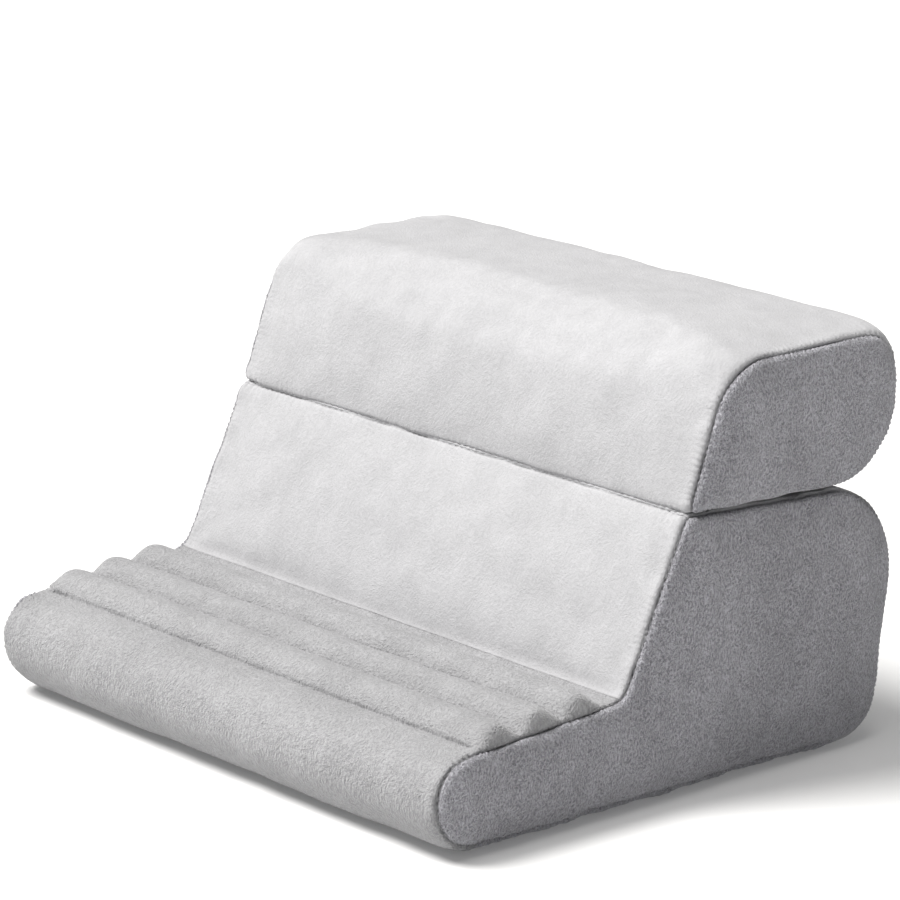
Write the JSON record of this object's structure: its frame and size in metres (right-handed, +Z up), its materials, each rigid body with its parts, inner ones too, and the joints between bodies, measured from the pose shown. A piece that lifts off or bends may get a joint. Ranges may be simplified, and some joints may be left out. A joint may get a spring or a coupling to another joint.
{
  "type": "tablet stand",
  "caption": "Plush foam pillow stand: wedge base with a ribbed ledge and leaning face, and a padded head that folds forward over them.",
  "frame": {"origin": "on the floor under the middle of the stand's width and depth", "axes": "+X to the right seen from the front, +Y from the front roll to the rear, +Z up"},
  "size_m": [0.286, 0.26, 0.184],
  "materials": {
    "plush": "short light-grey plush pile",
    "grip_fabric": "woven non-slip fabric with raised dots",
    "foam": "open-cell polyurethane foam",
    "thread": "polyester sewing thread",
    "zip_tape": "woven herringbone tape",
    "zip_teeth": "nylon coil",
    "zip_metal": "enamelled zinc",
    "label": "blank satin tape"
  },
  "bodies": {
    "base": {"base_wedge_foam": "foam", "base_ledge_foam": "foam", "rib_foam_front": "foam", "rib_foam_middle": "foam", "rib_foam_rear": "foam", "base_ribbed_panel": "plush", "base_face_panel": "plush", "base_back_panel": "plush", "base_heel_panel": "plush", "base_bottom_panel": "grip_fabric", "base_left_panel": "plush", "base_right_panel": "plush", "hinge_seam": "thread", "base_zip_tape_upper": "zip_tape", "base_zip_tape_lower": "zip_tape", "base_zip_coil": "zip_teeth", "base_zip_stops": "zip_metal", "care_label": "label"},
    "base_zip_slider": {"base_zip_slider": "zip_metal"},
    "base_zip_pull": {"base_zip_pull": "zip_metal"},
    "head": {"head_foam": "foam", "head_wrap_panel": "plush", "head_bottom_panel": "plush", "head_left_panel": "plush", "head_right_panel": "plush", "head_zip_tape_upper": "zip_tape", "head_zip_tape_lower": "zip_tape", "head_zip_coil": "zip_teeth", "head_zip_stops": "zip_metal"},
    "head_zip_slider": {"head_zip_slider": "zip_metal"},
    "head_zip_pull": {"head_zip_pull": "zip_metal"}
  },
  "joints": [
    {"name": "head_fold", "type": "hinge", "parent": "base", "child": "head", "pos_m": [0, 0.00509, 0.12], "axis": [1, 0, 0], "range_deg": [0, 150]},
    {"name": "base_zip_slide", "type": "slide", "parent": "base", "child": "base_zip_slider", "axis": [1, 0, 0], "range_m": [0, 0.222]},
    {"name": "base_zip_pull_swing", "type": "hinge", "parent": "base_zip_slider", "child": "base_zip_pull", "pos_m": [-0.111, 0.12784, 0.03467], "axis": [0, 0.1288, 0.9917], "range_deg": [0, 180]},
    {"name": "head_zip_slide", "type": "slide", "parent": "head", "child": "head_zip_slider", "axis": [1, 0, 0], "range_m": [0, 0.222]},
    {"name": "head_zip_pull_swing", "type": "hinge", "parent": "head_zip_slider", "child": "head_zip_pull", "pos_m": [-0.111, 0.1258, 0.12999], "axis": [0, 0.5736, 0.8192], "range_deg": [0, 180]}
  ]
}
